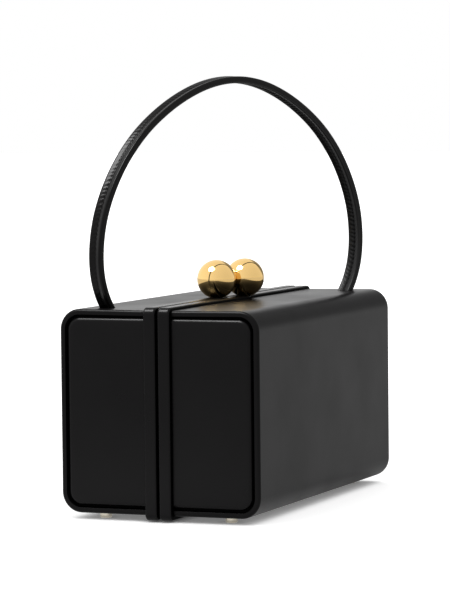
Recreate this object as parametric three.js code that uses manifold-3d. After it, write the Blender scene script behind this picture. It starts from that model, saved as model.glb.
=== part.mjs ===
// A hard leather box handbag: a rounded box tube split along its length into two halves, each with
// padded end panels and a frame rail round the split, closed by two balls and carried by one strap.
// Millimetres, +Z up. X runs along the bag, -Y is its front, and the origin is on the floor under
// the middle. The front half is the back half turned half a turn about Z.
import * as THREE from 'three';
import { mergeVertices } from 'three/addons/utils/BufferGeometryUtils.js';
import Module from 'manifold-3d';

const wasm = await Module();
wasm.setup();

// Driving dimensions of the body
const BODY_LENGTH = 202;
const BODY_WIDTH = 110;
const BODY_HEIGHT = 105.5;
const CORNER_RADIUS = 10.7;
const TOP_DIP = 0.3;
const WALL = 2.8;
const RIM_EDGE = 0.8;
const GAP = 0.3;

// Frame rails: how wide each is, how far it stands out of the body and how deep it reaches inside
const RAIL_WIDTH = 6.7;
const RAIL_PARTING = 1.2;
const RAIL_PROUD_TOP = 1.4;
const RAIL_PROUD_BOTTOM = 2.6;
const RAIL_PROUD_END = 3;
const RAIL_DEPTH_INSIDE = 5;
const RAIL_CORNER = 3.6;
const RAIL_EDGE = 1.4;

// End panels: a board that fills the shell's end and a padded face inside the groove
const GROOVE = 1.3;
const PAD_DEPTH = 3.6;
const PAD_PROUD = 0.4;
const PAD_EDGE = 2.2;
const BOARD_THICKNESS = 2.4;

// Ball clasp: each ball sits a little way down in a round seat in its rail
const BALL_RADIUS = 10.5;
const BALL_X = 9.75;
const BALL_Y = 4.3;
const BALL_SINK = 1.1;
const POST_RADIUS = 2;
const POST_DEPTH = 3;

// Stud feet
const FOOT_HEIGHT = 3.2;
const FOOT_RADIUS = 3.2;
const FOOT_FLAT_RADIUS = 2.2;
const FOOT_PIN_RADIUS = 1.2;
const FOOT_TOE = 0.2;
const FOOT_SHOULDER = 0.6;
const FOOT_X = 90;
const FOOT_Y = 35;

// Strap handle: its flat oval section, the turn of its arch from the bag's length and its lean to
// the front, and the hidden tab that keeps each end under the top wall
const STRAP_WIDTH = 8.2;
const STRAP_THICKNESS = 3.7;
const STRAP_ROUNDING = 0.9;
const STRAP_TURN = THREE.MathUtils.degToRad(-21.7);
const STRAP_LEAN = THREE.MathUtils.degToRad(1.7);
const TAB = { length: 14, thickness: 2.4, width: 14 };

// Hidden hinge strip along the bottom, inside
const HINGE = { length: 170, width: 12.4, thickness: 1.4 };

// Half of the strap's centre line, from its end inside the top wall to the crown of the arch.
// out is along the arch from the middle of the bag, up is above the body's top.
const STRAP_ROUTE = [
  { out: 89.9, up: -WALL - TOP_DIP - GAP - TAB.thickness / 2 },
  { out: 93.1, up: 0 },
  { out: 96.8, up: 6.3 },
  { out: 100.2, up: 16.3 },
  { out: 101.3, up: 29 },
  { out: 99.3, up: 44.1 },
  { out: 94.0, up: 58.6 },
  { out: 84.8, up: 73.8 },
  { out: 71.1, up: 88.8 },
  { out: 54.8, up: 100.7 },
  { out: 36.1, up: 110.1 },
  { out: 18.0, up: 115.7 },
  { out: 0, up: 117.6 },
];
const STRAP_STEPS = 76;
const STRAP_ARC_STEPS = 1;

// Facets of round shapes, and how near corners must be to count as one
const ARC_STEPS = 4;
const EDGE_STEPS = 2;
const ROUND_SIDES = 18;
const BALL_SIDES = 30;
const WELD = 1e-4;

// Finishes of the pieces
const FINISHES = {
  leather: { color: 0x1b1a1b, roughness: 0.45, metalness: 0 },
  padded: { color: 0x191819, roughness: 0.5, metalness: 0 },
  gold: { color: 0xe3b868, roughness: 0.08, metalness: 1 },
};

// Heights and half sizes that follow from the driving dimensions
const BODY_BOTTOM = FOOT_HEIGHT;
const BODY_TOP = BODY_BOTTOM + BODY_HEIGHT;
const BODY_END = BODY_LENGTH / 2;
const BODY_SIDE = BODY_WIDTH / 2;
const RAIL_INNER = RAIL_PARTING / 2;
const RAIL_OUTER = RAIL_INNER + RAIL_WIDTH;
const RAIL_TOP = BODY_TOP + RAIL_PROUD_TOP;
const BALL_CENTRE = RAIL_TOP + BALL_RADIUS - BALL_SINK;
const HALF_START = RAIL_OUTER + GAP;
const POST_Y = (RAIL_INNER + RAIL_OUTER) / 2;

// Turns a closed three.js geometry into a solid that can be joined and cut.
function solid(geometry) {
  const bare = geometry.clone();
  bare.deleteAttribute('normal');
  bare.deleteAttribute('uv');
  const merged = mergeVertices(bare, WELD);
  const corners = merged.index.array;
  const kept = [];
  for (let i = 0; i < corners.length; i += 3) {
    const [a, b, c] = corners.slice(i, i + 3);
    if (a !== b && b !== c && c !== a) {
      kept.push(a, b, c);
    }
  }
  const vertProperties = new Float32Array(merged.attributes.position.array);
  const triVerts = new Uint32Array(kept);
  return new wasm.Manifold(new wasm.Mesh({ numProp: 3, vertProperties, triVerts }));
}

// Turns a joined or cut solid back into a three.js geometry.
function geometryOf(body) {
  const mesh = body.getMesh();
  const geometry = new THREE.BufferGeometry();
  geometry.setAttribute('position', new THREE.BufferAttribute(mesh.vertProperties, 3));
  geometry.setIndex(new THREE.BufferAttribute(mesh.triVerts, 1));
  geometry.computeVertexNormals();
  return geometry;
}

// A named piece with a finish of its own.
function piece(name, body, finish) {
  const mesh = new THREE.Mesh(geometryOf(body), new THREE.MeshStandardMaterial(FINISHES[finish]));
  mesh.name = name;
  return mesh;
}

// Extrudes a shape with rounded end edges, without growing its outline.
function roundedExtrude(shape, depth, edge) {
  return new THREE.ExtrudeGeometry(shape, {
    depth: depth - 2 * edge,
    bevelEnabled: edge > 0,
    bevelThickness: edge,
    bevelSize: edge,
    bevelOffset: -edge,
    bevelSegments: EDGE_STEPS,
    curveSegments: ARC_STEPS,
  }).translate(0, 0, edge);
}

// Extrudes a shape drawn in the YZ plane along X, starting at the given X.
function extrudeAlongX(shape, start, depth, edge) {
  const turn = new THREE.Matrix4().makeBasis(
    new THREE.Vector3(0, 1, 0),
    new THREE.Vector3(0, 0, 1),
    new THREE.Vector3(1, 0, 0),
  );
  return roundedExtrude(shape, depth, edge).applyMatrix4(turn).translate(start, 0, 0);
}

// An upright cylinder from a lower to an upper height.
function uprightPin(radius, x, y, low, high) {
  return new THREE.CylinderGeometry(radius, radius, high - low, ROUND_SIDES)
    .rotateX(Math.PI / 2)
    .translate(x, y, (low + high) / 2);
}

// Half of the body's section, inset from its outline: two round corners, and a top that dips a
// little towards the split.
function halfSection(inset) {
  const radius = CORNER_RADIUS - inset;
  const side = BODY_SIDE - inset - radius;
  const low = BODY_BOTTOM + inset;
  const high = BODY_TOP - inset;
  const shape = new THREE.Shape();
  shape.moveTo(HALF_START, low);
  shape.lineTo(side, low);
  shape.absarc(side, low + radius, radius, -Math.PI / 2, 0);
  shape.absarc(side, high - radius, radius, 0, Math.PI / 2);
  shape.lineTo(HALF_START, high - TOP_DIP);
  return shape;
}

// The C-shaped wall of one half, open at the split and at both ends.
function wallSection() {
  const outer = halfSection(0).getPoints(ARC_STEPS);
  const inner = halfSection(WALL).getPoints(ARC_STEPS).reverse();
  return new THREE.Shape([...outer, ...inner]);
}

// A rounded rectangle in the drawing plane.
function roundedRectangle(left, right, low, high, radius) {
  const shape = new THREE.Shape();
  shape.moveTo(left + radius, low);
  shape.absarc(right - radius, low + radius, radius, -Math.PI / 2, 0);
  shape.absarc(right - radius, high - radius, radius, 0, Math.PI / 2);
  shape.absarc(left + radius, high - radius, radius, Math.PI / 2, Math.PI);
  shape.absarc(left + radius, low + radius, radius, Math.PI, 1.5 * Math.PI);
  return shape;
}

// The strap swept along its arch, with an allowance all round, in the bag's frame.
function strapSweep(allowance) {
  const width = STRAP_WIDTH / 2 + allowance;
  const thickness = STRAP_THICKNESS / 2 + allowance;
  const section = roundedRectangle(-width, width, -thickness, thickness, thickness * STRAP_ROUNDING);
  const half = STRAP_ROUTE.map(({ out, up }) => new THREE.Vector3(out, up, 0));
  const mirrored = half.slice(0, -1).map((point) => new THREE.Vector3(-point.x, point.y, 0));
  const route = new THREE.CatmullRomCurve3([...mirrored, ...half.reverse()]);
  return placeArch(new THREE.ExtrudeGeometry(section, {
    steps: STRAP_STEPS,
    extrudePath: route,
    curveSegments: STRAP_ARC_STEPS,
  }));
}

// Stands geometry drawn in the arch's own plane up on the body's top, turned across the bag.
function placeArch(geometry) {
  return geometry.rotateX(Math.PI / 2 + STRAP_LEAN).rotateZ(STRAP_TURN).translate(0, 0, BODY_TOP);
}

// The whole handle: the strap and the hidden tab at each of its ends.
function handleBody() {
  const [end] = STRAP_ROUTE;
  const tabs = [-1, 1].map((side) => {
    const tab = new THREE.BoxGeometry(TAB.length, TAB.thickness, TAB.width);
    return solid(placeArch(tab.translate(side * end.out, end.up, 0)));
  });
  return solid(strapSweep(0)).add(tabs[0]).add(tabs[1]);
}

// The leather wall of a half before its turn, with the strap's slot and the holes for the feet's
// pins.
function shellBody(turn) {
  const wall = solid(extrudeAlongX(wallSection(), -BODY_END, BODY_LENGTH, RIM_EDGE));
  const slotted = wall.subtract(solid(strapSweep(GAP).rotateZ(-turn)));
  const holes = [-FOOT_X, FOOT_X].map((x) => {
    return solid(uprightPin(FOOT_PIN_RADIUS + GAP, x, FOOT_Y, 0, BODY_BOTTOM + 2 * WALL));
  });
  return slotted.subtract(holes[0]).subtract(holes[1]);
}

// A panel of the back half at its -X or +X end: the board and the padded face in one.
function panelBody(end) {
  const face = end * (BODY_END + PAD_PROUD);
  const layers = [
    { inset: WALL + GROOVE, behind: 0, depth: PAD_DEPTH + PAD_EDGE, edge: PAD_EDGE },
    { inset: WALL + GAP, behind: PAD_DEPTH, depth: BOARD_THICKNESS, edge: 0 },
  ];
  const [pad, board] = layers.map(({ inset, behind, depth, edge }) => {
    const start = end < 0 ? face + behind : face - behind - depth;
    return solid(extrudeAlongX(halfSection(inset), start, depth, edge));
  });
  return pad.add(board);
}

// A ball's round form, with an allowance all round.
function ballSphere(allowance) {
  return new THREE.SphereGeometry(BALL_RADIUS + allowance, BALL_SIDES, BALL_SIDES / 2)
    .rotateX(Math.PI / 2)
    .translate(-BALL_X, BALL_Y, BALL_CENTRE);
}

// The rail of the back half: a ring round the split, with its ball's seat and the socket of the
// ball's post.
function railBody() {
  const ring = roundedRectangle(
    -BODY_END - RAIL_PROUD_END,
    BODY_END + RAIL_PROUD_END,
    BODY_BOTTOM - RAIL_PROUD_BOTTOM,
    RAIL_TOP,
    RAIL_CORNER,
  );
  const depth = RAIL_DEPTH_INSIDE;
  ring.holes.push(roundedRectangle(
    -BODY_END + depth,
    BODY_END - depth,
    BODY_BOTTOM + depth,
    BODY_TOP - depth,
    RAIL_CORNER,
  ));
  const rail = roundedExtrude(ring, RAIL_WIDTH, RAIL_EDGE)
    .rotateX(Math.PI / 2)
    .translate(0, RAIL_OUTER, 0);
  const socketDepth = RAIL_TOP - POST_DEPTH - GAP;
  const socket = uprightPin(POST_RADIUS + GAP, -BALL_X, POST_Y, socketDepth, RAIL_TOP + WALL);
  return solid(rail).subtract(solid(socket)).subtract(solid(ballSphere(GAP)));
}

// The ball of the back rail with its hidden post.
function ballBody() {
  const post = uprightPin(POST_RADIUS, -BALL_X, POST_Y, RAIL_TOP - POST_DEPTH, BALL_CENTRE);
  return solid(ballSphere(0)).add(solid(post));
}

// A stud foot under the back half, with the pin that holds it in the wall.
function footBody(x) {
  const seat = FOOT_HEIGHT - GAP;
  const profile = [
    [0, 0],
    [FOOT_FLAT_RADIUS, 0],
    [(FOOT_FLAT_RADIUS + FOOT_RADIUS) / 2, seat * FOOT_TOE],
    [FOOT_RADIUS, seat * FOOT_SHOULDER],
    [FOOT_RADIUS, seat],
    [FOOT_PIN_RADIUS, seat],
    [FOOT_PIN_RADIUS, BODY_BOTTOM + WALL],
    [0, BODY_BOTTOM + WALL],
  ].map(([radius, height]) => new THREE.Vector2(radius, height));
  const stud = new THREE.LatheGeometry(profile, ROUND_SIDES);
  return solid(stud.rotateX(Math.PI / 2).translate(x, FOOT_Y, 0));
}

// The strip that joins the two rails along the bottom, inside.
function hingeBody() {
  const seat = BODY_BOTTOM + RAIL_DEPTH_INSIDE + GAP;
  const strip = new THREE.BoxGeometry(HINGE.length, HINGE.width, HINGE.thickness);
  return solid(strip.translate(0, 0, seat + HINGE.thickness / 2));
}

// One half of the bag. ends names its -X and +X ends as they lie once the half is turned.
function halfOfBag({ name, turn, ends }) {
  const half = new THREE.Group();
  half.rotation.z = turn;
  half.add(piece(`${name}_shell`, shellBody(turn), 'leather'));
  half.add(piece(`${name}_rail`, railBody(), 'leather'));
  half.add(piece(`${ends[0]}_ball`, ballBody(), 'gold'));
  [-1, 1].forEach((side, index) => {
    half.add(piece(`${name}_${ends[index]}_panel`, panelBody(side), 'padded'));
    half.add(piece(`${name}_${ends[index]}_foot`, footBody(side * FOOT_X), 'gold'));
  });
  return half;
}

const bag = new THREE.Group();
bag.add(halfOfBag({ name: 'back', turn: 0, ends: ['left', 'right'] }));
bag.add(halfOfBag({ name: 'front', turn: Math.PI, ends: ['right', 'left'] }));
bag.add(piece('handle', handleBody(), 'leather'));
bag.add(piece('hinge_strip', hingeBody(), 'leather'));

export default bag;
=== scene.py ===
"""The looks of a hard leather box handbag with a ball clasp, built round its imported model.

Everything is in metres in the model's own frame: X runs along the bag, -Y is its front, +Z is up, and
the floor is at zero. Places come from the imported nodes, and the sizes below are the maker's own.
"""

import bisect
import logging
import math
from dataclasses import dataclass, field
from enum import Enum
from typing import Callable, Iterable

import bmesh
import bpy
from mathutils import Matrix, Vector


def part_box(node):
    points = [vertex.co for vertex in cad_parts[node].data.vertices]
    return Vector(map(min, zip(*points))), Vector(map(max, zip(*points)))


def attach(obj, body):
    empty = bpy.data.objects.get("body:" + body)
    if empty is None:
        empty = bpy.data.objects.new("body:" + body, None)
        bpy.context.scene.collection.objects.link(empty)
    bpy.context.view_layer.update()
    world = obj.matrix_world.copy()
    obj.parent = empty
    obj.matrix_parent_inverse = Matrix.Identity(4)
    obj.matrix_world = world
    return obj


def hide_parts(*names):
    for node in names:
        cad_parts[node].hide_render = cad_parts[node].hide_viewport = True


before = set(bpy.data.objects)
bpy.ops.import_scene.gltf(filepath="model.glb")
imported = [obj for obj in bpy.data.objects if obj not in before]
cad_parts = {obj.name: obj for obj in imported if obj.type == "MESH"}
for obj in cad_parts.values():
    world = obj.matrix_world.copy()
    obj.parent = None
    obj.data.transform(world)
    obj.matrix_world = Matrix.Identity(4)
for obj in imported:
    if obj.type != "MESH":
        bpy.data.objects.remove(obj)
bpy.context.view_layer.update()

MM = 0.001
# Metres within which two places count as one.
TINY = 1e-6
BODY = "root"
# The layer that keeps where the points of a strap section were drawn.
DRAWN = "drawn"
# Edges that bend by more than this are shaded sharp.
SHARP = math.radians(50)
# Cosines between a face's normal and an axis: above the first it faces along it, below the second across it.
FACING = 0.9
ASIDE = 0.5
# Nearly all of a noise texture's values lie between these two.
NOISE_LOW, NOISE_HIGH = 0.3, 0.7

log = logging.getLogger("handbag")


class Side(Enum):
    """A side of the bag, whose value is its sign along one axis."""

    @property
    def word(self) -> str:
        """The side's word in the names of nodes."""
        return self.name.lower()

    def near_and_far(self, low: float, high: float) -> tuple[float, float]:
        """The ends of a span: first the one towards the middle of the bag, then the outer one."""
        return (low, high) if self.value > 0 else (high, low)


class Half(Side):
    """The halves of the bag, by the sign of Y on their side of the split."""

    BACK = 1
    FRONT = -1


class End(Side):
    """The ends of the bag, by the sign of X."""

    LEFT = -1
    RIGHT = 1


class Slot(Enum):
    """The record's material slots."""

    SHELL = "shell_leather"
    PANEL = "panel_leather"
    RAIL = "rail_leather"
    STRAP = "strap_leather"
    GOLD = "gold"


def linear(colour: str) -> tuple[float, float, float, float]:
    """Turns an sRGB colour into linear light.

    Args:
        colour: Six hex digits after a hash sign.

    Returns:
        Red, green, blue and an alpha of one.
    """
    parts = [int(colour[i:i + 2], 16) / 255 for i in (1, 3, 5)]
    return (*(c / 12.92 if c <= 0.04045 else ((c + 0.055) / 1.055) ** 2.4 for c in parts), 1.0)


def add_node(
    tree: bpy.types.NodeTree,
    kind: str,
    inputs: dict[str | int, object] | None = None,
    **settings: object,
) -> bpy.types.Node:
    """Adds a node with its settings and links.

    Args:
        tree: The tree that gets the node.
        kind: Blender's name for the type of node.
        inputs: Input name or index, and the plain value or the output socket that goes there.
        settings: Properties of the node itself.

    Returns:
        The new node.
    """
    node = tree.nodes.new(kind)
    for name, value in settings.items():
        setattr(node, name, value)
    for key, value in (inputs or {}).items():
        if isinstance(value, bpy.types.NodeSocket):
            tree.links.new(value, node.inputs[key])
        else:
            node.inputs[key].default_value = value
    return node


@dataclass(frozen=True)
class Finish:
    """What every finish shares: its name and a material that is made once."""

    name: str

    def dress(self, tree: bpy.types.NodeTree, shader: bpy.types.Node) -> None:
        """Sets the shader and the nodes that feed it.

        Args:
            tree: The material's node tree.
            shader: Its Principled shader.
        """
        raise NotImplementedError

    def material(self) -> bpy.types.Material:
        """The finish as a material, made on first use.

        Returns:
            The material of this name.
        """
        found = bpy.data.materials.get(self.name)
        if found:
            return found
        made = bpy.data.materials.new(self.name)
        made.use_nodes = True
        self.dress(made.node_tree, made.node_tree.nodes["Principled BSDF"])
        return made


@dataclass(frozen=True)
class CalfLeather(Finish):
    """Black calf leather, dyed through, with a satin top coat that is rolled on.

    The eye sees almost no colour: deep black face on, and a soft grey sheen at low angles. Fine pores
    break the sheen up a little, and broad unevenness from the hide makes it drift.
    """

    colour: str
    faded: str
    roughness: float
    ior: float
    # Real pores lie about 0.3 mm apart. They are drawn coarser than that, so that they show in the render.
    pore: float
    pore_depth: float
    drift: float = 34 * MM
    drift_depth: float = 0.03 * MM
    gloss_drift: float = 0.03

    def dress(self, tree: bpy.types.NodeTree, shader: bpy.types.Node) -> None:
        """Sets the colour, sheen and grain of the leather.

        Args:
            tree: The material's node tree.
            shader: Its Principled shader.
        """
        place = add_node(tree, "ShaderNodeTexCoord").outputs["Object"]
        hide = add_node(tree, "ShaderNodeTexNoise", {
            "Vector": place, "Scale": 1 / self.drift, "Detail": 2.0, "Roughness": 0.5,
        })
        pores = add_node(tree, "ShaderNodeTexVoronoi", {
            "Vector": place, "Scale": 1 / self.pore, "Randomness": 1.0,
        }, feature="SMOOTH_F1")
        tone = add_node(tree, "ShaderNodeMix", {
            0: hide.outputs["Fac"], 6: linear(self.colour), 7: linear(self.faded),
        }, data_type="RGBA")
        gloss = add_node(tree, "ShaderNodeMapRange", {
            "Value": hide.outputs["Fac"], "From Min": NOISE_LOW, "From Max": NOISE_HIGH,
            "To Min": self.roughness - self.gloss_drift, "To Max": self.roughness + self.gloss_drift,
        })
        waves = add_node(tree, "ShaderNodeBump", {
            "Height": hide.outputs["Fac"], "Strength": 1.0, "Distance": self.drift_depth,
        })
        grain = add_node(tree, "ShaderNodeBump", {
            "Height": pores.outputs["Distance"], "Strength": 1.0, "Distance": self.pore_depth,
            "Normal": waves.outputs["Normal"],
        })
        shader.inputs["IOR"].default_value = self.ior
        tree.links.new(tone.outputs[2], shader.inputs["Base Color"])
        tree.links.new(gloss.outputs["Result"], shader.inputs["Roughness"])
        tree.links.new(grain.outputs["Normal"], shader.inputs["Normal"])


@dataclass(frozen=True)
class WaxedThread(CalfLeather):
    """Black waxed thread: duller than the leather that it lies in, with the small bumps of its twist."""


@dataclass(frozen=True)
class EdgeInkAndPaintedShade(CalfLeather):
    """Dark, dull ink on cut edges, used also as painted shade on the grooves' floor and beside the parting.
    """


@dataclass(frozen=True)
class GoldPlate(Finish):
    """Brass with polished gold plating: a warm mirror with the faintest haze of handling marks."""

    colour: str
    roughness: float
    haze: float = 4 * MM
    haze_share: float = 0.3

    def dress(self, tree: bpy.types.NodeTree, shader: bpy.types.Node) -> None:
        """Sets the plating's colour and its haze.

        Args:
            tree: The material's node tree.
            shader: Its Principled shader.
        """
        place = add_node(tree, "ShaderNodeTexCoord").outputs["Object"]
        marks = add_node(tree, "ShaderNodeTexNoise", {
            "Vector": place, "Scale": 1 / self.haze, "Detail": 4.0,
        })
        gloss = add_node(tree, "ShaderNodeMapRange", {
            "Value": marks.outputs["Fac"], "From Min": NOISE_LOW, "From Max": NOISE_HIGH,
            "To Min": self.roughness * (1 - self.haze_share),
            "To Max": self.roughness * (1 + self.haze_share),
        })
        shader.inputs["Base Color"].default_value = linear(self.colour)
        shader.inputs["Metallic"].default_value = 1.0
        tree.links.new(gloss.outputs["Result"], shader.inputs["Roughness"])


@dataclass(frozen=True)
class StudioPaper(Finish):
    """Matte white background paper that glows so that only its deepest shadows stay.

    The paper glows to the eye, less where the bag all but touches it, which is painted shade, and the bag's
    own surfaces mirror a painted pool of light that the paper gives off.
    """

    colour: str
    mirrored: str
    glow: float
    glow_in_painted_shadow: float
    painted_shadow_reach: float
    pool: float
    pool_middle: tuple[float, float, float]
    pool_reach: float
    roughness: float = 0.9
    sheen: float = 0.1

    def dress(self, tree: bpy.types.NodeTree, shader: bpy.types.Node) -> None:
        """Sets the paper's white, its glow with the painted shade beneath the bag, and the painted pool of
        light.

        Args:
            tree: The material's node tree.
            shader: Its Principled shader.
        """
        shader.inputs["Roughness"].default_value = self.roughness
        shader.inputs["Specular IOR Level"].default_value = self.sheen
        shader.inputs["Emission Color"].default_value = linear(self.colour)
        seen = add_node(tree, "ShaderNodeLightPath").outputs["Is Camera Ray"]
        # Painted shade: the glow fades where the bag all but touches the paper.
        free = add_node(tree, "ShaderNodeAmbientOcclusion", {"Distance": self.painted_shadow_reach}).outputs["AO"]
        glow_with_painted_shadow = add_node(tree, "ShaderNodeMapRange", {
            "Value": free, "To Min": self.glow * self.glow_in_painted_shadow, "To Max": self.glow,
        })
        # Painted pool of light: a glow that lights the bag and shows in its surfaces, but that the camera
        # never sees.
        place = add_node(tree, "ShaderNodeMapping", {
            "Vector": add_node(tree, "ShaderNodeTexCoord").outputs["Object"],
            "Location": Vector(self.pool_middle) / -self.pool_reach,
            "Scale": Vector((1, 1, 1)) / self.pool_reach,
        })
        pool = add_node(tree, "ShaderNodeTexGradient", {
            "Vector": place.outputs[0],
        }, gradient_type="QUADRATIC_SPHERE")
        lit = add_node(tree, "ShaderNodeMath", {
            0: pool.outputs["Fac"], 1: self.pool,
        }, operation="MULTIPLY")
        glow = add_node(tree, "ShaderNodeMix", {
            0: seen, 2: lit.outputs[0], 3: glow_with_painted_shadow.outputs["Result"],
        }, data_type="FLOAT")
        white = add_node(tree, "ShaderNodeMix", {
            0: seen, 6: linear(self.mirrored), 7: linear(self.colour),
        }, data_type="RGBA")
        tree.links.new(white.outputs[2], shader.inputs["Base Color"])
        tree.links.new(glow.outputs[0], shader.inputs["Emission Strength"])


# Satin black that turns a soft grey at low angles, as along the side.
SHELL_LEATHER = CalfLeather(
    "smooth_calf_leather", colour="#060506", faded="#0a090a", roughness=0.33, ior=1.26,
    pore=0.9 * MM, pore_depth=0.012 * MM,
)
# The same hide drawn over foam: a little more sheen, so that the soft edges catch the light.
PANEL_LEATHER = CalfLeather(
    "padded_calf_leather", colour="#060506", faded="#0a090a", roughness=0.30, ior=1.29,
    pore=0.9 * MM, pore_depth=0.014 * MM,
)
# Stretched tight round metal: the pores flatten and the sheen gets narrower.
RAIL_LEATHER = CalfLeather(
    "stretched_calf_leather", colour="#060506", faded="#090809", roughness=0.28, ior=1.29,
    pore=0.9 * MM, pore_depth=0.010 * MM,
)
# A deeper grain that breaks the highlight on the arch into grains.
STRAP_LEATHER = CalfLeather(
    "grained_calf_leather", colour="#040303", faded="#060505", roughness=0.28, ior=1.31,
    pore=1.1 * MM, pore_depth=0.03 * MM,
)
# The inside of the arch, dulled by the hand: a broad grey sheen in place of a highlight.
STRAP_UNDERSIDE = CalfLeather(
    "brushed_calf_leather", colour="#060505", faded="#090808", roughness=0.42, ior=1.42,
    pore=1.1 * MM, pore_depth=0.03 * MM,
)
# Thread that only shows as small dull bumps.
THREAD = WaxedThread(
    "waxed_thread", colour="#060606", faded="#0a0a0a", roughness=0.60, ior=1.30,
    pore=0.5 * MM, pore_depth=0.05 * MM,
)
# Painted shade on the grooves' floor, and ink on the rails' sides that also stands for the parting's shade.
EDGE_INK_AND_PAINTED_SHADE = EdgeInkAndPaintedShade(
    "edge_ink_and_painted_shade", colour="#030303", faded="#040404", roughness=0.55, ior=1.12,
    pore=0.6 * MM, pore_depth=0.010 * MM,
)
# A clear, warm mirror for the clasp.
GOLD = GoldPlate("gold_plated_brass", colour="#f0cf91", roughness=0.05)
# Painted pale as a painted reflection of the white floor, and hazier, so the feet are quiet beige spots.
GOLD_WITH_PAINTED_REFLECTION = GoldPlate("pale_gold_plated_brass", colour="#d3cdbf", roughness=0.2)
# Paper that burns out to pure white, with a soft shadow where the bag stands, partly real and partly painted
# shade.
PAPER = StudioPaper(
    "white_paper", colour="#f6f6f6", mirrored="#e9e9e9", glow=0.52, glow_in_painted_shadow=0.1, painted_shadow_reach=5 * MM,
    pool=0.8, pool_middle=(-0.20, 0.06, 0.0), pool_reach=0.5,
)


def box_matrix(low: Vector, high: Vector) -> Matrix:
    """The matrix that turns a unit cube round the origin into the box between two corners."""
    return Matrix.Translation((low + high) / 2) @ Matrix.Diagonal((*(high - low), 1.0))


def edges_of(verts: Iterable[bmesh.types.BMVert]) -> set[bmesh.types.BMEdge]:
    """All edges that meet the given vertices."""
    return {edge for vert in verts for edge in vert.link_edges}


def along(edge: bmesh.types.BMEdge, axis: int) -> bool:
    """Tells whether an edge runs along one axis."""
    run = edge.verts[0].co - edge.verts[1].co
    return run.length - abs(run[axis]) < TINY


def lies_at(edge: bmesh.types.BMEdge, axis: int, value: float) -> bool:
    """Tells whether both ends of an edge lie at one value of an axis."""
    return all(abs(vert.co[axis] - value) < TINY for vert in edge.verts)


def round_edges(
    bm: bmesh.types.BMesh, edges: Iterable[bmesh.types.BMEdge], radius: float, steps: int,
) -> None:
    """Rounds edges over.

    Args:
        bm: The mesh that holds the edges.
        edges: The edges to round.
        radius: The radius of the rounding.
        steps: The number of facets across it.
    """
    bmesh.ops.bevel(
        bm, geom=list(edges), offset=radius, offset_type="OFFSET", segments=steps, profile=0.5,
        affect="EDGES", material=-1, clamp_overlap=True,
    )


@dataclass(kw_only=True)
class Piece:
    """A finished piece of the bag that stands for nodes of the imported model."""

    name: str
    finish: Finish
    slot: Slot
    stands_for: tuple[str, ...] = ()
    flat_faces: bool = True

    def shape(self, bm: bmesh.types.BMesh) -> None:
        """Models the piece in an empty mesh.

        Args:
            bm: The mesh to fill.
        """
        raise NotImplementedError

    def complete(self, piece: bpy.types.Object) -> None:
        """Adds what the bare mesh still needs: nothing, unless a piece says otherwise."""

    def build(self) -> bpy.types.Object:
        """Models the piece, dresses it and seats it on its body.

        Returns:
            The finished object.
        """
        bm = bmesh.new()
        self.shape(bm)
        mesh = bpy.data.meshes.new(self.name)
        bm.to_mesh(mesh)
        bm.free()
        piece = bpy.data.objects.new(self.name, mesh)
        bpy.context.scene.collection.objects.link(piece)
        piece.data.materials.append(self.finish.material())
        self.complete(piece)
        self.shade(piece)
        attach(piece, BODY)
        if self.stands_for:
            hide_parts(*self.stands_for)
        log.info("%s: %d faces", self.name, len(piece.data.polygons))
        return piece

    def shade(self, piece: bpy.types.Object) -> None:
        """Shades the piece smooth, and keeps its flat faces flat beside their rounded edges.

        Args:
            piece: The object to shade.
        """
        piece.data.shade_smooth()
        piece.data.set_sharp_from_angle(angle=SHARP)
        if self.flat_faces:
            weighted = piece.modifiers.new("flat_faces", "WEIGHTED_NORMAL")
            weighted.keep_sharp = True


def half_box(
    bm: bmesh.types.BMesh,
    low: Vector,
    high: Vector,
    half: Half,
    radius: float,
    steps: int,
    dip: float = 0.0,
) -> list[bmesh.types.BMVert]:
    """Makes a box along the bag with two round long edges and a top that may dip towards the split.

    Args:
        bm: The mesh to add to.
        low: The box's lowest corner.
        high: Its highest corner.
        half: The half that the box belongs to, which says where the split is.
        radius: The radius of the two long edges away from the split.
        steps: The number of facets across each round edge.
        dip: How far the top lies lower at the split.

    Returns:
        The vertices of the box.
    """
    before = set(bm.verts)
    made = bmesh.ops.create_cube(bm, size=1.0, matrix=box_matrix(low, high))
    inner, outer = half.near_and_far(low.y, high.y)
    long_edges = [e for e in edges_of(made["verts"]) if along(e, 0) and lies_at(e, 1, outer)]
    round_edges(bm, long_edges, radius, steps)
    fresh = [v for v in bm.verts if v not in before]
    for vert in fresh:
        if abs(vert.co.y - inner) < TINY and vert.co.z > (low.z + high.z) / 2:
            vert.co.z -= dip
    return fresh


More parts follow.
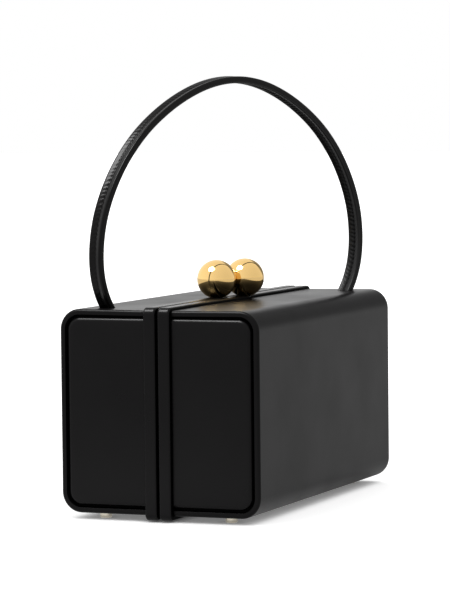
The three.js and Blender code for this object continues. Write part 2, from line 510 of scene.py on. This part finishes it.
@dataclass(frozen=True)
class StrapPath:
    """The arch that the strap follows, and its section.

    The route is half of the centre line, from the end inside the top wall to the crown: out along the
    arch from the middle of the bag, and up from the body's top.
    """

    top: float
    width: float = 8.2 * MM
    thickness: float = 3.7 * MM
    turn: float = math.radians(-21.7)
    lean: float = math.radians(1.7)
    samples: int = 40
    route: tuple[tuple[float, float], ...] = (
        (89.9 * MM, -4.6 * MM),
        (93.1 * MM, 0.0),
        (96.8 * MM, 6.3 * MM),
        (100.2 * MM, 16.3 * MM),
        (101.3 * MM, 29.0 * MM),
        (99.3 * MM, 44.1 * MM),
        (94.0 * MM, 58.6 * MM),
        (84.8 * MM, 73.8 * MM),
        (71.1 * MM, 88.8 * MM),
        (54.8 * MM, 100.7 * MM),
        (36.1 * MM, 110.1 * MM),
        (18.0 * MM, 115.7 * MM),
        (0.0, 117.6 * MM),
    )

    def placement(self) -> Matrix:
        """The matrix from the arch's own plane, X out and Y up, to the bag's frame."""
        stand = Matrix.Rotation(math.pi / 2 + self.lean, 4, "X")
        return Matrix.Translation((0, 0, self.top)) @ Matrix.Rotation(self.turn, 4, "Z") @ stand

    def points(self) -> list[Vector]:
        """Points along the whole arch, from the left foot to the right one, in the arch's plane.

        Returns:
            Points of a centripetal Catmull-Rom curve through the route and its mirror image.
        """
        half = [Vector((out, up, 0)) for out, up in self.route]
        knots = [Vector((-p.x, p.y, 0)) for p in half[:-1]] + half[::-1]
        knots = [2 * knots[0] - knots[1], *knots, 2 * knots[-1] - knots[-2]]
        found = []
        for a, b, c, d in zip(knots, knots[1:], knots[2:], knots[3:]):
            ab, bc, cd = (math.sqrt((q - p).length) for p, q in ((a, b), (b, c), (c, d)))
            leave = ((b - a) / ab - (c - a) / (ab + bc) + (c - b) / bc) * bc
            arrive = ((c - b) / bc - (d - b) / (bc + cd) + (d - c) / cd) * bc
            for step in range(self.samples):
                t = step / self.samples
                found.append(
                    b * (2 * t**3 - 3 * t**2 + 1) + leave * (t**3 - 2 * t**2 + t)
                    + c * (3 * t**2 - 2 * t**3) + arrive * (t**3 - t**2)
                )
        return [*found, knots[-2]]


class StrapLine:
    """The strap's arch measured along its length, which gives a frame at any distance."""

    def __init__(self, path: StrapPath) -> None:
        """Measures the arch.

        Args:
            path: The arch and its section.
        """
        self.path = path
        self._points = path.points()
        self._lengths = [0.0]
        for a, b in zip(self._points, self._points[1:]):
            self._lengths.append(self._lengths[-1] + (b - a).length)
        self._placement = path.placement()

    @property
    def length(self) -> float:
        """The length of the centre line."""
        return self._lengths[-1]

    def frame_at(self, distance: float) -> Matrix:
        """The frame of the section at a distance from the left foot.

        Args:
            distance: Metres along the centre line.

        Returns:
            A matrix whose X runs across the strap, Y out of its outer face and Z along it.
        """
        index = min(max(bisect.bisect_right(self._lengths, distance), 1), len(self._points) - 1)
        start, stop = self._points[index - 1], self._points[index]
        run = stop - start
        share = (distance - self._lengths[index - 1]) / run.length
        along_strap = run.normalized()
        outward = Vector((-along_strap.y, along_strap.x, 0))
        across = outward.cross(along_strap)
        turn = Matrix((across, outward, along_strap)).transposed().to_4x4()
        return self._placement @ Matrix.Translation(start + run * share) @ turn

    def sweep(
        self,
        bm: bmesh.types.BMesh,
        ring: list[bmesh.types.BMEdge],
        reach: tuple[float, float],
        step: float,
        relief: Callable[[Vector, float], Vector] | None = None,
    ) -> None:
        """Extrudes a section along the strap and closes its ends.

        Args:
            bm: The mesh that holds the section.
            ring: The section's edges, drawn round the origin in the XY plane, from strap_section.
            reach: Where the sweep starts and stops, in metres from the left foot.
            step: The length of a step.
            relief: Moves a point of the section, given the distance that it lies at.
        """
        start, stop = reach
        count = max(2, round((stop - start) / step))
        drawn = bm.verts.layers.float_vector[DRAWN]
        first = list(ring)
        for index in range(count + 1):
            distance = start + (stop - start) * index / count
            if index:
                out = bmesh.ops.extrude_edge_only(bm, edges=ring)["geom"]
                ring = [g for g in out if isinstance(g, bmesh.types.BMEdge)]
            place = self.frame_at(distance)
            for vert in {v for e in ring for v in e.verts}:
                point = vert[drawn]
                vert.co = place @ (relief(point, distance) if relief else point)
        for rim in (first, ring):
            bmesh.ops.contextual_create(bm, geom=rim)


def strap_section(
    bm: bmesh.types.BMesh, width: float, thickness: float, corner: float, steps: int, cuts: int = 0,
) -> list[bmesh.types.BMEdge]:
    """Draws a flat section with round corners, and notes where each of its points was drawn.

    Args:
        bm: The mesh to draw in.
        width: Across the strap.
        thickness: Through it.
        corner: The radius of its corners.
        steps: The number of facets of a corner.
        cuts: The number of points to add along each broad side.

    Returns:
        The closed ring of edges.
    """
    layers = bm.verts.layers.float_vector
    drawn = layers.get(DRAWN) or layers.new(DRAWN)
    before = set(bm.edges)
    sheet = bmesh.ops.create_grid(
        bm, x_segments=1, y_segments=1, size=0.5, matrix=Matrix.Diagonal((width, thickness, 1.0, 1.0)),
    )
    bmesh.ops.bevel(
        bm, geom=sheet["verts"], offset=corner, offset_type="OFFSET", segments=steps, profile=0.5,
        affect="VERTICES", material=-1,
    )
    ring = [e for e in bm.edges if e not in before]
    bmesh.ops.delete(bm, geom=list({f for e in ring for f in e.link_faces}), context="FACES_ONLY")
    if cuts:
        bmesh.ops.subdivide_edges(bm, edges=[e for e in ring if along(e, 0)], cuts=cuts)
        ring = [e for e in bm.edges if e not in before]
    for vert in {v for e in ring for v in e.verts}:
        vert[drawn] = vert.co
    return ring


def carve(piece: bpy.types.Object, shape: bmesh.types.BMesh) -> None:
    """Cuts a closed shape out of a piece, and frees the shape.

    Args:
        piece: The object to cut.
        shape: The closed mesh that is taken away.
    """
    bmesh.ops.recalc_face_normals(shape, faces=shape.faces)
    mesh = bpy.data.meshes.new("cutter")
    shape.to_mesh(mesh)
    shape.free()
    cutter = bpy.data.objects.new("cutter", mesh)
    bpy.context.scene.collection.objects.link(cutter)
    cut = piece.modifiers.new("cut", "BOOLEAN")
    cut.operation = "DIFFERENCE"
    cut.solver = "EXACT"
    cut.object = cutter
    whole = piece.evaluated_get(bpy.context.evaluated_depsgraph_get())
    piece.data = bpy.data.meshes.new_from_object(whole)
    piece.modifiers.clear()
    bpy.data.objects.remove(cutter)


@dataclass(kw_only=True)
class ShellHalf(Piece):
    """One half of the body: a leather-covered wall bent round the long edges, with rolled rims."""

    half: Half
    strap: StrapLine
    wall: float = 2.8 * MM
    corner: float = 10.7 * MM
    dip: float = 0.3 * MM
    rim: float = 1.5 * MM
    lip: float = 0.7 * MM
    slot_gap: float = 0.35 * MM
    slot_reach: float = 14 * MM
    slot_corner: float = 1.4 * MM
    slot_step: float = 2 * MM
    corner_steps: int = 16
    rim_steps: int = 6
    lip_steps: int = 3
    slot_steps: int = 3

    def shape(self, bm: bmesh.types.BMesh) -> None:
        """Bends the wall, opens its ends and split, gives it thickness and rolls the rims.

        Args:
            bm: The mesh to fill.
        """
        low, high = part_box(self.stands_for[0])
        half_box(bm, low, high, self.half, self.corner, self.corner_steps, self.dip)
        split, _ = self.half.near_and_far(low.y, high.y)
        opened = [
            f for f in bm.faces
            if abs(f.normal.x) > FACING or abs(f.calc_center_median().y - split) < TINY
        ]
        bmesh.ops.delete(bm, geom=opened, context="FACES")
        bmesh.ops.recalc_face_normals(bm, faces=bm.faces)
        skin = set(bm.edges)
        bmesh.ops.solidify(bm, geom=bm.faces[:], thickness=self.wall)
        round_edges(bm, [e for e in self.rims(bm) if e in skin], self.rim, self.rim_steps)
        round_edges(bm, self.rims(bm), self.lip, self.lip_steps)

    def rims(self, bm: bmesh.types.BMesh) -> list[bmesh.types.BMEdge]:
        """The edges of the wall's open ends that are still square.

        Args:
            bm: The mesh that holds the wall.

        Returns:
            The edges between an end and the wall's inner or outer face.
        """
        low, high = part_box(self.stands_for[0])
        split, _ = self.half.near_and_far(low.y, high.y)
        return [
            e for e in bm.edges
            if (lies_at(e, 0, low.x) or lies_at(e, 0, high.x))
            and any(abs(f.normal.x) < ASIDE for f in e.link_faces)
            and not lies_at(e, 1, split)
        ]

    def complete(self, piece: bpy.types.Object) -> None:
        """Cuts the slot that the strap comes out of.

        Args:
            piece: The shell's object.
        """
        path, whole = self.strap.path, self.strap.length
        gap = 2 * self.slot_gap
        cutter = bmesh.new()
        for reach in ((0, self.slot_reach), (whole - self.slot_reach, whole)):
            ring = strap_section(
                cutter, path.width + gap, path.thickness + gap, self.slot_corner, self.slot_steps,
            )
            self.strap.sweep(cutter, ring, reach, self.slot_step)
        carve(piece, cutter)


@dataclass(kw_only=True)
class EndPanel(Piece):
    """A padded end panel: leather drawn over foam on a board, with a soft edge and a slight crown."""

    half: Half
    end: End
    flat_faces: bool = False
    groove: float = 1.0 * MM
    pad_depth: float = 3.6 * MM
    pad_corner: float = 7.0 * MM
    pad_edge: float = 2.3 * MM
    crown: float = 0.5 * MM
    row: float = 4.0 * MM
    fill: float = 0.9
    corner_steps: int = 12
    edge_steps: int = 7

    def shape(self, bm: bmesh.types.BMesh) -> None:
        """Makes the board and the pad on it, and swells the pad's face.

        Args:
            bm: The mesh to fill.
        """
        low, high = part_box(self.stands_for[0])
        back, face = self.end.near_and_far(low.x, high.x)
        split, _ = self.half.near_and_far(low.y, high.y)
        behind = self.board_face()
        self.layer(bm, (behind, back), 0.0, self.pad_corner + self.groove)
        pad = self.layer(bm, (face, behind), self.groove, self.pad_corner)
        edges = [e for e in edges_of(pad) if lies_at(e, 0, face) and not lies_at(e, 1, split)]
        round_edges(bm, edges, self.pad_edge, self.edge_steps)
        self.swell(bm, face)

    def board_face(self) -> float:
        """The X value of the board's face, which the pad lies on."""
        _, face = self.end.near_and_far(*(corner.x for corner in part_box(self.stands_for[0])))
        return face - self.end.value * self.pad_depth

    def swell(self, bm: bmesh.types.BMesh, face: float) -> None:
        """Cuts the pad's face into rows and raises it towards the middle.

        Args:
            bm: The mesh that holds the pad.
            face: The X value of the pad's flat face.
        """
        front = [v.co for v in bm.verts if abs(v.co.x - face) < TINY]
        spans = {axis: (min(co[axis] for co in front), max(co[axis] for co in front)) for axis in (1, 2)}
        for axis, (start, stop) in spans.items():
            count = round((stop - start) / self.row)
            way = Vector((0, 0, 0))
            way[axis] = 1.0
            for index in range(1, count):
                cut = way * (start + (stop - start) * index / count)
                flat = [f for f in bm.faces if all(abs(v.co.x - face) < TINY for v in f.verts)]
                edges = {e for f in flat for e in f.edges}
                verts = {v for f in flat for v in f.verts}
                bmesh.ops.bisect_plane(
                    bm, geom=[*flat, *edges, *verts], plane_co=cut, plane_no=way, dist=TINY,
                )
        for vert in bm.verts:
            if abs(vert.co.x - face) < TINY:
                shares = [(2 * vert.co[a] - lo - hi) / (hi - lo) for a, (lo, hi) in spans.items()]
                vert.co.x += self.end.value * self.crown * math.prod(1 - s * s for s in shares)

    def layer(
        self, bm: bmesh.types.BMesh, reach: tuple[float, float], inset: float, corner: float,
    ) -> list[bmesh.types.BMVert]:
        """Makes one layer of the panel.

        Args:
            bm: The mesh to add to.
            reach: The two X values that the layer lies between.
            inset: How far it keeps inside the board's outline, apart from at the split.
            corner: The radius of its two round corners.

        Returns:
            The layer's vertices.
        """
        low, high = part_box(self.stands_for[0])
        low.x, high.x = min(reach), max(reach)
        low.z += inset
        high.z -= inset
        if self.half is Half.BACK:
            high.y -= inset
        else:
            low.y += inset
        return half_box(bm, low, high, self.half, corner, self.corner_steps)

    def complete(self, piece: bpy.types.Object) -> None:
        """Paints the board's face with the dark ink as painted shade, where it shows at the bottom of the
        groove.

        Args:
            piece: The panel's object.
        """
        behind = self.board_face()
        # Painted shade: the groove's floor gets the dark ink.
        piece.data.materials.append(EDGE_INK_AND_PAINTED_SHADE.material())
        for polygon in piece.data.polygons:
            polygon.material_index = int(
                abs(polygon.center.x - behind) < TINY and polygon.normal.x * self.end.value > FACING
            )

    def build(self) -> bpy.types.Object:
        """Builds the panel."""
        return super().build()


@dataclass(kw_only=True)
class ClaspBall(Piece):
    """A ball of the kiss-lock clasp on its short post, turned in one piece and plated."""

    post: float = 1.3 * MM
    arc_steps: int = 40
    turn_steps: int = 80

    def shape(self, bm: bmesh.types.BMesh) -> None:
        """Turns the ball to its own size."""
        self.turn(bm, 0.0)

    def turn(self, bm: bmesh.types.BMesh, allowance: float) -> None:
        """Turns the ball and its post about the upright axis.

        Args:
            bm: The mesh to fill.
            allowance: How much larger than the ball the shape is, all round.
        """
        low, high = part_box(self.stands_for[0])
        radius = (high.x - low.x) / 2
        centre = Vector(((low.x + high.x) / 2, (low.y + high.y) / 2, high.z - radius))
        radius += allowance
        crown = bm.verts.new(centre + Vector((0, 0, radius)))
        arc = math.pi - math.asin((self.post + allowance) / radius)
        bmesh.ops.spin(
            bm, geom=[crown], cent=centre, axis=(0, 1, 0), angle=arc, steps=self.arc_steps,
            use_merge=False,
        )
        lowest = min(bm.verts, key=lambda v: v.co.z)
        foot = bmesh.ops.extrude_vert_indiv(bm, verts=[lowest])["verts"][0]
        foot.co.z = low.z - allowance
        tip = bmesh.ops.extrude_vert_indiv(bm, verts=[foot])["verts"][0]
        tip.co = (centre.x, centre.y, foot.co.z)
        bmesh.ops.spin(
            bm, geom=bm.verts[:] + bm.edges[:], cent=centre, axis=(0, 0, 1), angle=math.tau,
            steps=self.turn_steps, use_merge=True,
        )
        bmesh.ops.remove_doubles(bm, verts=bm.verts, dist=TINY)
        bmesh.ops.recalc_face_normals(bm, faces=bm.faces)


@dataclass(kw_only=True)
class FrameRail(Piece):
    """A frame rail: a closed metal ring round the split, faced with leather; its inked sides add painted
    shade.
    """

    ball: ClaspBall
    corner: float = 3.6 * MM
    inside: float = 5.0 * MM
    first_inset: float = 7.0 * MM
    edge: float = 1.2 * MM
    seat_gap: float = 0.25 * MM
    side_cosine: float = 0.8
    corner_steps: int = 8
    edge_steps: int = 6

    def shape(self, bm: bmesh.types.BMesh) -> None:
        """Makes a rounded plate, opens it to a ring and rounds the ring's edges.

        Args:
            bm: The mesh to fill.
        """
        low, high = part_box(self.stands_for[0])
        made = bmesh.ops.create_cube(bm, size=1.0, matrix=box_matrix(low, high))
        round_edges(bm, [e for e in edges_of(made["verts"]) if along(e, 1)], self.corner, self.corner_steps)
        self.cut_hole(bm)
        rims = [
            e for e in bm.edges
            if (lies_at(e, 1, low.y) or lies_at(e, 1, high.y))
            and any(abs(f.normal.y) < ASIDE for f in e.link_faces)
        ]
        round_edges(bm, rims, self.edge, self.edge_steps)

    def cut_hole(self, bm: bmesh.types.BMesh) -> None:
        """Cuts the hole of the ring, which lies a little inside the body's walls.

        Args:
            bm: The mesh that holds the plate.
        """
        low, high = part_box(self.stands_for[0])
        body_low, body_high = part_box("back_shell")
        sides = [f for f in bm.faces if abs(f.normal.y) > FACING]
        bmesh.ops.inset_individual(bm, faces=sides, thickness=self.first_inset, use_even_offset=True)
        for vert in (v for side in sides for v in side.verts):
            for axis in (0, 2):
                reach = (high[axis] - low[axis]) / 2 - self.first_inset
                share = (vert.co[axis] - (low[axis] + high[axis]) / 2) / reach
                hole_reach = (body_high[axis] - body_low[axis]) / 2 - self.inside
                vert.co[axis] = (body_low[axis] + body_high[axis]) / 2 + share * hole_reach
        loops = [e for f in sides for e in f.edges]
        bmesh.ops.delete(bm, geom=sides, context="FACES_ONLY")
        bmesh.ops.bridge_loops(bm, edges=loops)
        bmesh.ops.recalc_face_normals(bm, faces=bm.faces)

    def complete(self, piece: bpy.types.Object) -> None:
        """Sinks the seat of the ball and the socket of its post, and inks the rail's sides as partly painted
        shade.

        Args:
            piece: The rail's object.
        """
        cutter = bmesh.new()
        self.ball.turn(cutter, self.seat_gap)
        carve(piece, cutter)
        # The rail's sides get the dark ink: real edge ink, and also painted shade for the dark band along
        # the parting.
        piece.data.materials.append(EDGE_INK_AND_PAINTED_SHADE.material())
        for polygon in piece.data.polygons:
            polygon.material_index = int(abs(polygon.normal.y) > self.side_cosine)


@dataclass(kw_only=True)
class StudFoot(Piece):
    """A stud foot: a low domed button on a pin, turned in one piece and plated."""

    flat: float = 2.2 * MM
    pin: float = 1.1 * MM
    wall: float = 2.8 * MM
    seat_gap: float = 0.3 * MM
    rim_steps: int = 6
    turn_steps: int = 48

    def shape(self, bm: bmesh.types.BMesh) -> None:
        """Turns the foot's profile about the upright axis.

        Args:
            bm: The mesh to fill.
        """
        low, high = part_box(self.stands_for[0])
        centre = (low + high) / 2
        radius = (high.x - low.x) / 2
        top = high.z - low.z
        seat = top - self.wall - self.seat_gap
        dome = radius - self.flat
        vert = bm.verts.new((centre.x, centre.y, low.z))
        rows = [(self.flat, 0.0)]
        for step in range(1, self.rim_steps + 1):
            angle = math.pi / 2 * step / self.rim_steps
            rows.append((self.flat + dome * math.sin(angle), dome * (1 - math.cos(angle))))
        rows += [(radius, seat), (self.pin, seat), (self.pin, top), (0.0, top)]
        for out, up in rows:
            vert = bmesh.ops.extrude_vert_indiv(bm, verts=[vert])["verts"][0]
            vert.co = (centre.x + out, centre.y, low.z + up)
        bmesh.ops.spin(
            bm, geom=bm.verts[:] + bm.edges[:], cent=centre, axis=(0, 0, 1), angle=math.tau,
            steps=self.turn_steps, use_merge=True,
        )
        bmesh.ops.remove_doubles(bm, verts=bm.verts, dist=TINY)
        bmesh.ops.recalc_face_normals(bm, faces=bm.faces)


@dataclass(frozen=True)
class Seam:
    """The seam along the strap's broad faces, and how it draws the leather in.

    The puckers beside the holes are slanted and a little uneven, and the face on the inside of the arch
    bunches up more than the outer one, by the factor given.
    """

    offset: float = 0.5 * MM
    bunching: float = 2.6
    pitch: float = 2.4 * MM
    unevenness: float = 0.7
    uneven_pitch: float = 11.3 * MM
    depth: float = 0.15 * MM
    breadth: float = 0.40 * MM
    pucker: float = 0.17 * MM
    pucker_breadth: float = 2.4 * MM
    slant: float = 0.6

    def pull(self, across: float, distance: float) -> float:
        """How far the seam draws a face in.

        Args:
            across: Metres from the seam, across the face.
            distance: Metres along the strap.

        Returns:
            The depth below the face as it was before sewing.
        """
        turn = math.tau * (distance + self.slant * abs(across)) / self.pitch
        turn += self.unevenness * math.sin(math.tau * distance / self.uneven_pitch)
        groove = self.depth * math.exp(-(across / self.breadth) ** 2)
        pucker = self.pucker * (1 + math.cos(turn)) / 2
        return groove + pucker * math.exp(-(across / self.pucker_breadth) ** 2)


@dataclass(kw_only=True)
class StrapHandle(Piece):
    """The handle: leather folded round two cords and sewn between them, with a hidden tab at each end."""

    strap: StrapLine
    seam: Seam
    corner: float = 0.9 * MM
    valley: float = 0.95 * MM
    valley_power: float = 1.25
    step: float = 0.48 * MM
    corner_steps: int = 5
    cuts: int = 27
    tab: Vector = field(default_factory=lambda: Vector((14, 2.4, 14)) * MM)
    tab_edge: float = 0.6 * MM
    tab_steps: int = 3

    def shape(self, bm: bmesh.types.BMesh) -> None:
        """Sweeps the strap along its arch, puts a tab under each foot and marks the inner face.

        Args:
            bm: The mesh to fill.
        """
        path = self.strap.path
        ring = strap_section(bm, path.width, path.thickness, self.corner, self.corner_steps, self.cuts)
        self.strap.sweep(bm, ring, (0.0, self.strap.length), self.step, self.sewn)
        for side in (-1, 1):
            out, up = path.route[0]
            place = path.placement() @ Matrix.Translation((side * out, up, 0))
            made = bmesh.ops.create_cube(bm, size=1.0, matrix=place @ Matrix.Diagonal((*self.tab, 1.0)))
            round_edges(bm, edges_of(made["verts"]), self.tab_edge, self.tab_steps)
        bmesh.ops.recalc_face_normals(bm, faces=bm.faces)
        drawn = bm.verts.layers.float_vector[DRAWN]
        for face in bm.faces:
            face.material_index = int(all(vert[drawn].y < -self.corner for vert in face.verts))
        bm.verts.layers.float_vector.remove(drawn)

    def complete(self, piece: bpy.types.Object) -> None:
        """Gives the inside of the arch its own leather."""
        piece.data.materials.append(STRAP_UNDERSIDE.material())

    def sewn(self, point: Vector, distance: float) -> Vector:
        """Where a point of the plain section lies once the strap is sewn.

        Args:
            point: The point in the section's own plane.
            distance: Metres along the strap.

        Returns:
            The moved point.
        """
        across = point.x - self.seam.offset
        edge = math.copysign(self.strap.path.width / 2 - self.corner, across)
        share = across / (edge - self.seam.offset)
        if share > 1:
            return point
        pull = self.seam.pull(across, distance) * (1 - share**2)
        if point.y < 0:
            pull *= self.seam.bunching
        sunk = self.valley * (1 - share) ** self.valley_power + pull
        return point - Vector((0, math.copysign(sunk, point.y), 0))


@dataclass(kw_only=True)
class StrapStitches(Piece):
    """The stitches of the strap's seam, on both of its broad faces."""

    strap: StrapLine
    seam: Seam
    length: float = 1.9 * MM
    thread: float = 0.55 * MM
    depth: float = 0.5 * MM
    clear_of_foot: float = 7 * MM
    sides: int = 8

    def shape(self, bm: bmesh.types.BMesh) -> None:
        """Lays a small rounded stitch between each two holes of the seam.

        Args:
            bm: The mesh to fill.
        """
        stitch = bmesh.new()
        size = Matrix.Diagonal((self.thread / 2, self.thread / 2, self.length / 2, 1.0))
        bmesh.ops.create_uvsphere(
            stitch, u_segments=self.sides, v_segments=self.sides, radius=1.0, matrix=size,
        )
        mesh = bpy.data.meshes.new("stitch")
        stitch.to_mesh(mesh)
        stitch.free()
        first = math.ceil(self.clear_of_foot / self.seam.pitch)
        last = math.floor((self.strap.length - self.clear_of_foot) / self.seam.pitch)
        for index in range(first, last):
            place = self.strap.frame_at((index + 0.5) * self.seam.pitch)
            for side in (-1, 1):
                lay = place @ Matrix.Translation((self.seam.offset, side * self.depth, 0))
                mesh.transform(lay)
                bm.from_mesh(mesh)
                mesh.transform(lay.inverted())
        bpy.data.meshes.remove(mesh)


@dataclass(frozen=True)
class TentPatch:
    """A soft-edged patch of the white tent that is brighter or dimmer than the rest.

    The edge and the core are cosines of the angles from its middle at which it starts and is full.
    """

    way: tuple[float, float, float]
    edge: float
    core: float
    level: float


@dataclass(frozen=True)
class Studio:
    """The paper floor, the light and the camera."""

    eye: tuple[float, float, float] = (-1.59709, -0.63686, 0.21172)
    yaw: float = math.radians(21.8476)
    pitch: float = math.radians(3.4559)
    roll: float = math.radians(-0.5954)
    lens: float = 191.84
    sensor: float = 36.0
    floor_reach: float = 12.0
    softbox_aim: tuple[float, float, float] = (0.0, 0.0, 0.12)
    softbox_way: tuple[float, float, float] = (-0.44, 0.28, 0.865)
    softbox_distance: float = 1.3
    softbox_size: float = 0.7
    softbox_power: float = 22.0
    tent_right: float = 0.90
    tent_left: float = 1.20
    patches: tuple[TentPatch, ...] = (
        TentPatch(way=(0.93, -0.17, 0.34), edge=0.90, core=0.97, level=0.40),
    )
    gamma: float = 0.85

    def floor(self) -> bpy.types.Object:
        """Lays the paper.

        Returns:
            The paper's object.
        """
        bm = bmesh.new()
        bmesh.ops.create_grid(bm, x_segments=1, y_segments=1, size=self.floor_reach)
        mesh = bpy.data.meshes.new("paper")
        bm.to_mesh(mesh)
        bm.free()
        paper = bpy.data.objects.new("paper", mesh)
        bpy.context.scene.collection.objects.link(paper)
        mesh.materials.append(PAPER.material())
        return paper

    def softbox(self, paper: bpy.types.Object) -> None:
        """Hangs the softbox, which is flagged off the paper.

        Args:
            paper: The floor.
        """
        lamp = bpy.data.lights.new("softbox", "AREA")
        lamp.energy = self.softbox_power
        lamp.shape = "DISK"
        lamp.size = self.softbox_size
        softbox = bpy.data.objects.new("softbox", lamp)
        bpy.context.scene.collection.objects.link(softbox)
        way = Vector(self.softbox_way).normalized()
        softbox.location = Vector(self.softbox_aim) + way * self.softbox_distance
        softbox.rotation_mode = "QUATERNION"
        softbox.rotation_quaternion = way.to_track_quat("Z", "Y")
        flagged = bpy.data.collections.new("flagged")
        flagged.objects.link(paper)
        flagged.collection_objects[0].light_linking.link_state = "EXCLUDE"
        softbox.light_linking.receiver_collection = flagged

    def tent(self) -> None:
        """Wraps the set in a white tent, which is plain white to the camera itself."""
        world = bpy.data.worlds.new("tent")
        bpy.context.scene.world = world
        world.use_nodes = True
        tree = world.node_tree
        place = add_node(tree, "ShaderNodeTexCoord").outputs["Generated"]
        leftward = add_node(tree, "ShaderNodeSeparateXYZ", {0: place}).outputs["Y"]
        level = add_node(tree, "ShaderNodeMapRange", {
            "Value": leftward, "From Min": -1.0, "From Max": 1.0,
            "To Min": self.tent_right, "To Max": self.tent_left,
        })
        for patch in self.patches:
            toward = add_node(tree, "ShaderNodeVectorMath", {
                0: place, 1: Vector(patch.way).normalized(),
            }, operation="DOT_PRODUCT")
            level = add_node(tree, "ShaderNodeMapRange", {
                "Value": toward.outputs["Value"], "From Min": patch.edge, "From Max": patch.core,
                "To Min": level.outputs["Result"], "To Max": patch.level,
            }, interpolation_type="SMOOTHSTEP")
        seen = add_node(tree, "ShaderNodeLightPath").outputs["Is Camera Ray"]
        strength = add_node(tree, "ShaderNodeMix", {
            0: seen, 2: level.outputs["Result"], 3: 1.0,
        }, data_type="FLOAT")
        tree.links.new(strength.outputs[0], tree.nodes["Background"].inputs["Strength"])
        tree.nodes["Background"].inputs["Color"].default_value = linear("#ffffff")

    def camera(self) -> None:
        """Sets the camera at the photograph's place and angle."""
        lens = bpy.data.cameras.new("camera")
        lens.lens = self.lens
        lens.sensor_width = self.sensor
        camera = bpy.data.objects.new("camera", lens)
        bpy.context.scene.collection.objects.link(camera)
        ahead = Vector((
            math.cos(self.yaw) * math.cos(self.pitch),
            math.sin(self.yaw) * math.cos(self.pitch),
            -math.sin(self.pitch),
        ))
        right = Vector((math.sin(self.yaw), -math.cos(self.yaw), 0))
        level = Matrix((right, right.cross(ahead), -ahead)).transposed()
        turned = level @ Matrix.Rotation(self.roll, 3, "Z")
        camera.matrix_world = Matrix.Translation(self.eye) @ turned.to_4x4()
        bpy.context.scene.camera = camera

    def set_up(self) -> None:
        """Sets up the floor, the light and the camera."""
        self.softbox(self.floor())
        self.tent()
        self.camera()
        look = bpy.context.scene.view_settings
        look.view_transform = "Standard"
        look.gamma = self.gamma


def main() -> None:
    """Sets up the studio and builds the bag: each half with its own pieces, then the handle."""
    logging.basicConfig(level=logging.INFO, format="%(message)s")
    Studio().set_up()
    strap = StrapLine(StrapPath(top=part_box("back_shell")[1].z))
    seam = Seam()
    for half, ball_end in ((Half.BACK, End.LEFT), (Half.FRONT, End.RIGHT)):
        shell, rail, ball = f"{half.word}_shell", f"{half.word}_rail", f"{ball_end.word}_ball"
        clasp = ClaspBall(
            name=f"{ball}_gold", finish=GOLD, slot=Slot.GOLD, stands_for=(ball,), flat_faces=False,
        )
        clasp.build()
        ShellHalf(
            name=f"{shell}_leather", finish=SHELL_LEATHER, slot=Slot.SHELL, stands_for=(shell,),
            half=half, strap=strap,
        ).build()
        FrameRail(
            name=f"{rail}_leather", finish=RAIL_LEATHER, slot=Slot.RAIL, stands_for=(rail,), ball=clasp,
        ).build()
        for end in End:
            panel, foot = f"{half.word}_{end.word}_panel", f"{half.word}_{end.word}_foot"
            EndPanel(
                name=f"{panel}_pad", finish=PANEL_LEATHER, slot=Slot.PANEL, stands_for=(panel,),
                half=half, end=end,
            ).build()
            StudFoot(name=f"{foot}_stud", finish=GOLD_WITH_PAINTED_REFLECTION, slot=Slot.GOLD, stands_for=(foot,)).build()
    StrapHandle(
        name="handle_strap", finish=STRAP_LEATHER, slot=Slot.STRAP, stands_for=("handle",),
        flat_faces=False, strap=strap, seam=seam,
    ).build()
    StrapStitches(
        name="handle_stitches", finish=THREAD, slot=Slot.STRAP, flat_faces=False, strap=strap, seam=seam,
    ).build()
    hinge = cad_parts["hinge_strip"]
    hinge.data.materials.clear()
    hinge.data.materials.append(RAIL_LEATHER.material())


if __name__ == "__main__":
    main()
